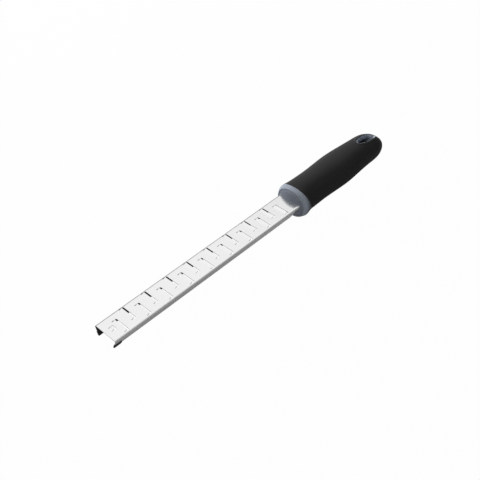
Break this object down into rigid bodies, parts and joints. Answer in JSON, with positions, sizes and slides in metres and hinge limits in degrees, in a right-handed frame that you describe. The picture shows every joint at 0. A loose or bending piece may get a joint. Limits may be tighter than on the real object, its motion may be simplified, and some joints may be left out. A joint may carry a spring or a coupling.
{
  "type": "ribbon grater",
  "caption": "Long hand grater: a folded steel blade with staggered raised ribbon teeth, two small tip feet, and a soft-gripped handle with a hanging hole.",
  "frame": {"origin": "middle of the underside of the whole tool's box, with the teeth up", "axes": "+X from the blade's tip to the handle's end, +Y across the blade to the side away from the camera, +Z out of the cutting face"},
  "size_m": [0.3376, 0.0342, 0.0291],
  "materials": {
    "polished_steel": "polished stainless sheet with fine lengthwise grain",
    "foot_rubber": "matte black",
    "hard_plastic": "satin slate grey moulding",
    "soft_grip": "matte black soft plastic"
  },
  "bodies": {
    "root": {"blade": "polished_steel", "foot_far": "foot_rubber", "foot_near": "foot_rubber", "handle_core": "hard_plastic", "handle_grip": "soft_grip"}
  },
  "joints": []
}
